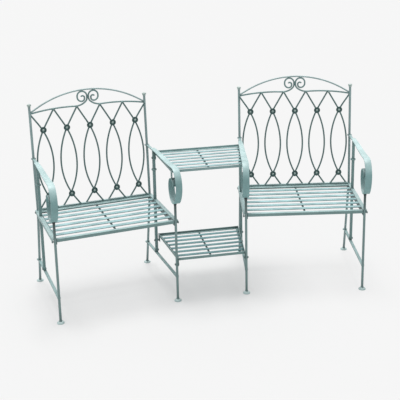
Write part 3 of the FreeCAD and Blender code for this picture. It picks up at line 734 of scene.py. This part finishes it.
@dataclass
class Workshop:
    """Makes pieces into objects of the bench.

    Attributes:
        paints: The shop that mixes their paints.
        smooth: The largest angle between faces that are shaded as one, in degrees.
        pieces: The pieces delivered so far.
    """

    paints: PaintShop
    smooth: float = 38.0
    pieces: list[bpy.types.Object] = field(default_factory=list)

    def deliver(self, name: str, draw: Callable[[Turned], bmesh.types.BMesh],
                places: list[Turned], material_slot: str, *stands_for: str) -> None:
        """Makes the shapes of a painted piece and adds it to the bench.

        Args:
            name: The piece's name.
            draw: Makes the shape for a place, drawn up from the origin.
            places: Where the piece's shapes stand.
            material_slot: The record's slot that it takes its finish from.
            *stands_for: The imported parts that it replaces.
        """
        mesh = bpy.data.meshes.new(name)
        whole = bmesh.new()
        for place in places:
            shape = draw(place)
            shape.transform(place.placement())
            shape.to_mesh(mesh)
            shape.free()
            whole.from_mesh(mesh)
        whole.to_mesh(mesh)
        whole.free()
        mesh.polygons.foreach_set("use_smooth", [True] * len(mesh.polygons))
        mesh.set_sharp_from_angle(angle=math.radians(self.smooth))
        mesh.materials.append(self.paints.paint(self.paints.jobs[material_slot]))
        piece = bpy.data.objects.new(name, mesh)
        bpy.context.scene.collection.objects.link(piece)
        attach(piece, BODY)
        if stands_for:
            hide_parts(*stands_for)
        self.pieces.append(piece)


@dataclass
class Rosettes:
    """Pressed discs at the crossings of the back rods, each with a riveted button.

    Attributes:
        roll: Radius of the rolled rim.
        roll_arc: The sweep of the roll.
        flat_back: How far in from the edge the flat back ends, in radii of the roll.
        dish: Height of the dish's floor, as a share of the disc's depth.
        ridge: Radius of the low ridge in the dish, as a share of the disc's.
        ridge_size: Half width and height of the ridge, in radii of the roll.
        ridge_arc: The sweep of the ridge.
        ridge_foot: How far inside the ridge the floor starts again, in radii of the roll.
        button_seat: Radius of a button where it touches the disc, as a share of its largest.
        button_lip: Height at which it is widest, as a share of its own.
        button_shoulder: Height at which its dome starts, as a share.
        dome_arc: The sweep of its dome.
        disc_facets: How many facets a disc has round its axis.
        button_facets: How many a button has.
    """

    roll: float = 1.6 * MILLIMETRE
    roll_arc: Sweep = (-35.0, 175.0, 9)
    flat_back: float = 1.6
    dish: float = 0.42
    ridge: float = 0.55
    ridge_size: Point = (0.9, 0.6)
    ridge_arc: Sweep = (0.0, 180.0, 5)
    ridge_foot: float = 2.0
    button_seat: float = 0.94
    button_lip: float = 0.08
    button_shoulder: float = 0.2
    dome_arc: Sweep = (2.0, 90.0, 8)
    disc_facets: int = 36
    button_facets: int = 24

    def disc(self, place: Turned) -> bmesh.types.BMesh:
        """Makes one disc, drawn up from the origin.

        Args:
            place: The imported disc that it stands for.

        Returns:
            The disc.
        """
        radius, depth, roll = place.radius, place.length, self.roll
        floor = depth * self.dish
        ridge = radius * self.ridge
        ridge_radii = (roll * self.ridge_size[0], roll * self.ridge_size[1])
        profile = [(0.0, 0.0), (radius - roll * self.flat_back, 0.0)]
        profile += arc((radius - roll, depth - roll), (roll, roll), self.roll_arc)
        profile += arc((ridge, floor), ridge_radii, self.ridge_arc)
        profile += [(ridge - roll * self.ridge_foot, floor), (0.0, floor)]
        return lathe(profile, self.disc_facets)

    def button(self, place: Turned) -> bmesh.types.BMesh:
        """Makes one rivet head, drawn up from the origin.

        Args:
            place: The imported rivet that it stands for.

        Returns:
            The rivet head.
        """
        radius, height = place.radius, place.length
        shoulder = height * self.button_shoulder
        profile = [(0.0, 0.0), (radius * self.button_seat, 0.0),
                   (radius, height * self.button_lip)]
        profile += arc((0.0, shoulder), (radius, height - shoulder), self.dome_arc)
        return lathe(profile, self.button_facets)

    def build(self, workshop: Workshop) -> None:
        """Adds the discs and the buttons.

        Args:
            workshop: Where they are made.
        """
        workshop.deliver("pressed_rosettes", self.disc, places_of("rosettes", FORWARD),
                         "rosette_paint", "rosettes")
        workshop.deliver("rivet_buttons", self.button, places_of("rosette_rivets", FORWARD),
                         "pale_paint", "rosette_rivets")


@dataclass
class Ends:
    """The caps on the posts and the round feet under the legs.

    Attributes:
        neck: Height of the ring under a cap.
        neck_drop: How far below the ring the cap starts, as a share of that height.
        neck_hole: Radius at which it starts, as a share of the cap's.
        ring: Radius of the middle of the ring, as a share of the cap's.
        ring_width: Half width of the ring, as a share.
        ring_arc: The sweep of the ring.
        ball: Height of the ball's middle, as a share of the cap's.
        ball_arc: The sweep of the ball.
        rim: Radius of a foot's rounded rim, as a share of the foot's height.
        rim_arc: The sweep of the rim.
        hollow: Depth of the hollow under a foot, as a share of its height.
        hollow_edge: Radius of the hollow at its top and at the ground, as shares of the foot's.
        dome: Height at which a foot's dome starts, as a share.
        dome_arc: The sweep of the dome.
        cap_facets: How many facets a cap has round its axis.
        foot_facets: How many a foot has.
    """

    neck: float = 2.6 * MILLIMETRE
    neck_drop: float = 0.4
    neck_hole: float = 0.5
    ring: float = 0.66
    ring_width: float = 0.1
    ring_arc: Sweep = (-90.0, 90.0, 6)
    ball: float = 0.56
    ball_arc: Sweep = (-52.0, 90.0, 14)
    rim: float = 0.17
    rim_arc: Sweep = (-90.0, 80.0, 6)
    hollow: float = 0.1
    hollow_edge: Span = (0.84, 0.88)
    dome: float = 0.3
    dome_arc: Sweep = (4.0, 90.0, 10)
    cap_facets: int = 36
    foot_facets: int = 40

    def cap(self, place: Turned) -> bmesh.types.BMesh:
        """Makes a flattened ball over a small ring, drawn up from the origin.

        Args:
            place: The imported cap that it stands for.

        Returns:
            The cap.
        """
        radius, height, half = place.radius, place.length, self.neck / 2
        middle = height * self.ball
        profile = [(radius * self.neck_hole, -self.neck * self.neck_drop)]
        profile += arc((radius * self.ring, half), (radius * self.ring_width, half),
                       self.ring_arc)
        profile += arc((0.0, middle), (radius, height - middle), self.ball_arc)
        return lathe(profile, self.cap_facets)

    def foot(self, place: Turned) -> bmesh.types.BMesh:
        """Makes a dished disc with a rounded rim, drawn up from the origin.

        Args:
            place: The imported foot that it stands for.

        Returns:
            The foot.
        """
        radius, height = place.radius, place.length
        rim, hollow, dome = (height * share for share in (self.rim, self.hollow, self.dome))
        inner, outer = (radius * share for share in self.hollow_edge)
        profile = [(0.0, hollow), (inner, hollow), (outer, 0.0)]
        profile += arc((radius - rim, rim), (rim, rim), self.rim_arc)
        profile += arc((0.0, dome), (radius - rim, height - dome), self.dome_arc)
        return lathe(profile, self.foot_facets)

    def build(self, workshop: Workshop) -> None:
        """Adds the caps and the feet.

        Args:
            workshop: Where they are made.
        """
        workshop.deliver("turned_caps", self.cap, places_of("finials", UP), "pale_paint",
                         "finials")
        workshop.deliver("round_feet", self.foot, places_of("feet", UP), "foot_paint", "feet")


@dataclass
class Fasteners:
    """Button-head bolts with hexagon sockets, and their nuts.

    Attributes:
        head: Height of a bolt's head.
        lip: Height of the head's straight side, as a share of the head's.
        dome_start: Angle at which the head's dome starts, in degrees.
        dome_facets: How many facets the dome has from there to the socket.
        shank: Radius of a bolt's shank.
        socket: Width of the hexagon socket over its corners.
        socket_depth: How deep it is.
        mouth: Radius of the flat round the socket, as a share of the socket's width.
        pitch: Distance between the threads that show past a nut.
        thread: Depth of a thread, as a share of the pitch.
        turns: How many turns of the thread are cut.
        facets: How many facets a bolt has round its axis, a multiple of the corners.
        corners: How many corners a socket or a nut has.
        chamfer: How far a nut's corners are cut back, as a share of its radius.
        chamfer_facets: How many facets the cut has.
        narrow: A shank's largest radius, as a share of its head's, by which the two are told
            apart.
    """

    head: float = 3.3 * MILLIMETRE
    lip: float = 0.22
    dome_start: float = 4.0
    dome_facets: int = 8
    shank: float = 3 * MILLIMETRE
    socket: float = 4.8 * MILLIMETRE
    socket_depth: float = 2 * MILLIMETRE
    mouth: float = 0.62
    pitch: float = 1 * MILLIMETRE
    thread: float = 0.28
    turns: int = 7
    facets: int = 24
    corners: int = 6
    chamfer: float = 0.16
    chamfer_facets: int = 2
    narrow: float = 0.8

    def bolt(self, place: Turned) -> bmesh.types.BMesh:
        """Makes one bolt with its head up, drawn up from the origin.

        Args:
            place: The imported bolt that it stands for.

        Returns:
            The bolt.
        """
        radius, neck = place.radius, place.length - self.head
        thread, lip = self.pitch * self.thread, self.head * self.lip
        profile = [(0.0, 0.0), (self.shank - 2 * thread, 0.0)]
        for turn in range(self.turns):
            profile.append((self.shank, (turn + 0.5) * self.pitch))
            profile.append((self.shank - thread, (turn + 1) * self.pitch))
        profile += [(self.shank, neck), (radius - lip / 2, neck), (radius, neck + lip / 2)]
        end = math.degrees(math.acos(self.socket * self.mouth / radius))
        profile += arc((0.0, neck + lip), (radius, self.head - lip),
                       (self.dome_start, end, self.dome_facets))
        shape = lathe(profile, self.facets)
        self.sink_socket(shape)
        return shape

    def sink_socket(self, shape: bmesh.types.BMesh) -> None:
        """Closes the open top of a head with a hexagon socket.

        Args:
            shape: The bolt, open at its top.
        """
        mouth = [edge for edge in shape.edges if edge.is_boundary]
        level = max(corner.co.z for edge in mouth for corner in edge.verts)
        made = bmesh.ops.create_circle(shape, cap_ends=False, radius=self.socket / 2,
                                       segments=self.corners,
                                       matrix=Matrix.Translation((0, 0, level)))
        sides = list({edge for corner in made["verts"] for edge in corner.link_edges})
        split = bmesh.ops.subdivide_edges(shape, edges=sides,
                                          cuts=self.facets // self.corners - 1)
        sides = [part for part in split["geom"] if isinstance(part, bmesh.types.BMEdge)]
        bmesh.ops.bridge_loops(shape, edges=mouth + sides)
        sunk = bmesh.ops.extrude_edge_only(shape, edges=sides)["geom"]
        bottom = [part for part in sunk if isinstance(part, bmesh.types.BMVert)]
        bmesh.ops.translate(shape, verts=bottom, vec=(0, 0, -self.socket_depth))
        walls = [part for part in sunk if isinstance(part, bmesh.types.BMEdge)]
        bmesh.ops.contextual_create(shape, geom=[edge for edge in walls if edge.is_boundary])
        bmesh.ops.recalc_face_normals(shape, faces=shape.faces)

    def nut(self, place: Turned) -> bmesh.types.BMesh:
        """Makes one nut with its corners chamfered, drawn up from the origin.

        Args:
            place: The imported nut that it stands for.

        Returns:
            The nut.
        """
        shape = bmesh.new()
        made = bmesh.ops.create_circle(shape, cap_ends=True, radius=place.radius,
                                       segments=self.corners)
        raised = bmesh.ops.extrude_face_region(shape, geom=list(shape.faces))["geom"]
        top = [part for part in raised if isinstance(part, bmesh.types.BMVert)]
        bmesh.ops.translate(shape, verts=top, vec=(0, 0, place.length))
        bmesh.ops.bevel(shape, geom=top + made["verts"], offset=place.radius * self.chamfer,
                        affect="VERTICES", segments=self.chamfer_facets, profile=0.5,
                        material=-1)
        bmesh.ops.recalc_face_normals(shape, faces=shape.faces)
        return shape

    def heads_up(self, solid: Solid) -> Turned:
        """Measures a bolt.

        Args:
            solid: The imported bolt.

        Returns:
            Its place, with its axis toward its head.
        """
        place = solid.turned(FORWARD)
        spokes, axis = solid.points - numpy.array(place.foot), numpy.array(place.axis)
        low = spokes[spokes @ axis < place.length / 2]
        widest = numpy.linalg.norm(numpy.cross(low, axis), axis=1).max()
        return place.upside_down() if widest > place.radius * self.narrow else place

    def build(self, workshop: Workshop) -> None:
        """Adds every bolt and nut.

        Args:
            workshop: Where they are made.
        """
        for node in ("seat_bolts", "upright_bolts", "shelf_bolts"):
            places = [self.heads_up(solid) for solid in Solid.all_of(node)]
            workshop.deliver("socket_" + node, self.bolt, places, "bolt_steel", node)
        workshop.deliver("chamfered_nuts", self.nut, places_of("nuts", FORWARD), "bolt_steel",
                         "nuts")


@dataclass
class Welds:
    """Lumpy beads of weld, painted over, where rods meet what carries them.

    Attributes:
        bead: Radius of a bead.
        lump: Size of the lumps on it.
        swell: How far its surface swells and sinks, as a share of its radius.
        bead_facets: How many facets it has round itself.
        ring_facets: How many it has round the rod.
        rod: Radius at which beads lie round a back rod.
        leg: Radius at which they lie round a leg or post.
        rod_top: How far below a back rod's upper end its bead lies.
        rod_foot: How far above its lower end the other one lies.
        arch_end: How far in from its ends an arch has beads.
        leg_foot: How far above a leg's lower end its bead lies.
    """

    bead: float = 2.1 * MILLIMETRE
    lump: float = 5.04 * MILLIMETRE
    swell: float = 0.55
    bead_facets: int = 8
    ring_facets: int = 28
    rod: float = 3.4 * MILLIMETRE
    leg: float = 5.6 * MILLIMETRE
    rod_top: float = 2.2 * MILLIMETRE
    rod_foot: float = 1.5 * MILLIMETRE
    arch_end: float = 3 * MILLIMETRE
    leg_foot: float = 2.5 * MILLIMETRE

    def ring(self, place: Turned) -> bmesh.types.BMesh:
        """Makes one bead round a rod, drawn up from the origin.

        Args:
            place: A stretch of the rod, with its foot in the middle of the bead.

        Returns:
            The bead.
        """
        shape = bmesh.new()
        upright = Matrix.Translation((place.radius, 0, 0)) @ Matrix.Rotation(math.pi / 2, 4, "X")
        made = bmesh.ops.create_circle(shape, cap_ends=False, radius=self.bead,
                                       segments=self.bead_facets, matrix=upright)
        loop = list({edge for corner in made["verts"] for edge in corner.link_edges})
        bmesh.ops.spin(shape, geom=made["verts"] + loop, cent=(0, 0, 0), axis=UP, dvec=(0, 0, 0),
                       angle=FULL_TURN, steps=self.ring_facets, use_merge=True)
        for corner in shape.verts:
            swell = noise.noise(place.placement() @ corner.co / self.lump) * self.swell
            core = Vector((*corner.co.xy, 0)).normalized() * place.radius
            corner.co = core + (corner.co - core) * (1 + swell)
        bmesh.ops.recalc_face_normals(shape, faces=shape.faces)
        return shape

    def places(self, side: str) -> list[Turned]:
        """Lists where a chair has beads.

        Args:
            side: The side on which the chair stands.

        Returns:
            The stretches of rod that the beads go round.
        """
        found = []
        for layer in ("front", "back"):
            for solid in Solid.all_of(f"{side}_lattice_{layer}_rods"):
                found += [solid.rod_end(UP, self.rod_top, self.rod),
                          solid.rod_end(-UP, self.rod_foot, self.rod)]
        for solid in Solid.all_of(f"{side}_back_arch"):
            found += [solid.rod_end(way, self.arch_end, self.rod)
                      for way in (SIDEWAYS, -SIDEWAYS)]
        low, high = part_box(f"{side}_stretchers")
        for place in ("outer", "inner"):
            for part in ("front_leg", "back_post"):
                solid = Solid.all_of(f"{side}_{place}_{part}")[0]
                found += [solid.rod_near(UP, level, self.leg) for level in (low.z, high.z)]
                found.append(solid.rod_end(-UP, self.leg_foot, self.leg))
        return found

    def build(self, workshop: Workshop) -> None:
        """Adds each chair's beads.

        Args:
            workshop: Where they are made.
        """
        for side in ("right", "left"):
            workshop.deliver(f"{side}_weld_beads", self.ring, self.places(side), "frame_paint")


@dataclass
class SoftEdges:
    """Rounds the sharp edges of the flat bars, as rolling and paint leave them.

    Attributes:
        width: How far the rounding reaches from an edge.
        segments: How many facets it has.
        sharp: The least angle between faces that it rounds, in degrees.
        flats: Words in the names of the parts made of flat bar.
        other: A word in the names of parts that are none.
    """

    width: float = 0.5 * MILLIMETRE
    segments: int = 2
    sharp: float = 50.0
    flats: tuple[str, ...] = ("slats", "cross_rails", "side_rails", "centre_bar", "back_rail",
                              "arm", "stretchers", "angles", "upright", "post", "scroll")
    other: str = "bolts"

    def build(self) -> list[bpy.types.Object]:
        """Adds the rounding to every flat part.

        Returns:
            Those parts.
        """
        flat = [part for name, part in frame["nodes"].items()
                if self.other not in name and any(word in name for word in self.flats)]
        for part in flat:
            part.modifiers.new("weld", "WELD").merge_threshold = SAME_PLACE
            bevel = part.modifiers.new("soft_edges", "BEVEL")
            bevel.width = self.width
            bevel.segments = self.segments
            bevel.limit_method = "ANGLE"
            bevel.angle_limit = math.radians(self.sharp)
        return flat


@dataclass
class Studio:
    """A pale floor, soft light from above and the photograph's camera.

    Attributes:
        backdrop: Colour of the floor and of what lies behind it.
        reach: How far the floor goes from the bench, in metres.
        matt: Colour of the floor's share that takes light and shadow.
        bounce: Colour that the floor throws back at the bench.
        left: The floor's share that takes no shadow, by the place across, left of the middle.
        right: The same share right of the middle, where the shadow is faintest.
        sky: Colour of the even light from all round.
        sky_strength: Strength of that light.
        sun_strength: Strength of the lamp.
        sun_width: How wide the lamp looks from the bench, in degrees.
        sun_lean: How far the lamp leans back and to the side, in degrees.
        eye: The camera's place, in metres.
        yaw: How far the camera looks to the right of straight ahead, in degrees.
        pitch: How far it looks down, in degrees.
        roll: How far it leans, in degrees.
        focal_pixels: Focal length in pixels of the photograph.
        image_size: The photograph's width and height, in pixels.
        axis_pixel: Where the lens axis meets the photograph, in pixels.
        sensor: Width of the camera's sensor, in millimetres.
        far: The distance past which the camera sees nothing, in metres.
    """

    backdrop: Colour = linear((246, 246, 246))
    reach: float = 40.0
    matt: Colour = (0.773, 0.763, 0.756)
    bounce: Colour = (0.7, 0.71, 0.71)
    left: Ramp = Ramp(-0.35, -0.1, 0.54, 0.38)
    right: Ramp = Ramp(0.12, 0.55, 0.38, 0.78)
    sky: Colour = (0.95, 0.98, 1.0)
    sky_strength: float = 0.52
    sun_strength: float = 2.25
    sun_width: float = 28.0
    sun_lean: Span = (-8.0, -1.0)
    eye: tuple[float, float, float] = (-0.7762, -4.0240, 1.9331)
    yaw: float = 12.0
    pitch: float = 15.9
    roll: float = -0.9
    focal_pixels: float = 877.6
    image_size: int = 400
    axis_pixel: Point = (218.4, 136.8)
    sensor: float = 36.0
    far: float = 100.0

    def place(self, name: str, data: bpy.types.ID) -> bpy.types.Object:
        """Adds an object to the scene.

        Args:
            name: The object's name.
            data: Its mesh, lamp or camera.

        Returns:
            The object.
        """
        thing = bpy.data.objects.new(name, data)
        bpy.context.scene.collection.objects.link(thing)
        return thing

    def floor_paint(self) -> bpy.types.Material:
        """Mixes the floor's paint, in which the shadow fades away from the middle.

        Returns:
            The paint.
        """
        made = bpy.data.materials.new("studio_floor")
        sketch = NodeSketch(made)
        matt = sketch.add("BsdfDiffuse", {"Color": (*self.matt, 1.0)})
        bounce = sketch.add("BsdfDiffuse", {"Color": (*self.bounce, 1.0)})
        glow = sketch.add("Emission", {"Color": (*self.backdrop, 1.0), "Strength": 1.0})
        across = sketch.part(sketch.place(), "X")
        share = sketch.math("MAXIMUM", sketch.remap(across, self.left),
                            sketch.remap(across, self.right))
        seen = sketch.either(share, matt, glow)
        both = sketch.either(sketch.straight_sight(), bounce, seen)
        sketch.add("OutputMaterial", {"Surface": both.outputs[0]})
        return made

    def floor(self) -> bpy.types.Object:
        """Lays a wide flat floor that keeps the bench's soft shadow.

        Returns:
            The floor.
        """
        shape = bmesh.new()
        bmesh.ops.create_grid(shape, x_segments=1, y_segments=1, size=self.reach)
        mesh = bpy.data.meshes.new("studio_floor")
        shape.to_mesh(mesh)
        shape.free()
        mesh.materials.append(self.floor_paint())
        ground = self.place("studio_floor", mesh)
        return ground

    def world(self) -> None:
        """Sets a white surround for the camera, and a dim even one for light."""
        world = bpy.data.worlds.new("studio")
        sketch = NodeSketch(world)
        white = sketch.add("Background", {"Color": (*self.backdrop, 1.0)})
        soft = sketch.add("Background", {"Color": (*self.sky, 1.0),
                                         "Strength": self.sky_strength})
        both = sketch.either(sketch.straight_sight(), soft, white)
        sketch.add("OutputWorld", {"Surface": both.outputs[0]})
        bpy.context.scene.world = world

    def lamp(self) -> bpy.types.Object:
        """Hangs a broad soft light nearly overhead.

        Returns:
            The lamp.
        """
        light = bpy.data.lights.new("studio_top", "SUN")
        light.energy = self.sun_strength
        light.angle = math.radians(self.sun_width)
        lamp = self.place("studio_top", light)
        lamp.rotation_euler = (*map(math.radians, self.sun_lean), 0)
        return lamp

    def camera(self) -> bpy.types.Object:
        """Sets up the camera that sees the bench as the photograph does.

        Returns:
            The camera.
        """
        turns = ((-self.yaw, "Z"), (90 - self.pitch, "X"), (self.roll, "Z"))
        across, upward, leaning = (Matrix.Rotation(math.radians(angle), 4, axis)
                                   for angle, axis in turns)
        data = bpy.data.cameras.new("photo_camera")
        data.sensor_width = self.sensor
        data.lens = self.sensor * self.focal_pixels / self.image_size
        data.shift_x = 0.5 - self.axis_pixel[0] / self.image_size
        data.shift_y = self.axis_pixel[1] / self.image_size - 0.5
        data.clip_end = self.far
        camera = self.place("photo_camera", data)
        camera.matrix_world = Matrix.Translation(self.eye) @ across @ upward @ leaning
        bpy.context.scene.camera = camera
        return camera

    def build(self) -> list[bpy.types.Object]:
        """Sets up the floor, the light and the camera.

        Returns:
            These three.
        """
        self.world()
        bpy.context.scene.view_settings.view_transform = "Standard"
        return [self.floor(), self.lamp(), self.camera()]


def report(work: str, pieces: list[bpy.types.Object]) -> None:
    """Logs each piece that a class made or changed."""
    for piece in pieces:
        log.info("%s: %s", work, piece.name)


def corners(box: tuple[Vector, Vector]) -> list[list[float]]:
    """A box's two corners as plain lists."""
    return [list(corner) for corner in box]


def main() -> None:
    """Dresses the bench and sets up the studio."""
    logging.basicConfig(level=logging.INFO, format="%(name)s: %(message)s")
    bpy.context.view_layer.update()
    paints = PaintShop()
    report("painted", paints.build())
    workshop = Workshop(paints)
    for crew in (Rosettes(), Ends(), Fasteners(), Welds()):
        crew.build(workshop)
    report("made", workshop.pieces)
    report("softened", SoftEdges().build())
    report("set up", Studio().build())


if __name__ == "__main__":
    main()
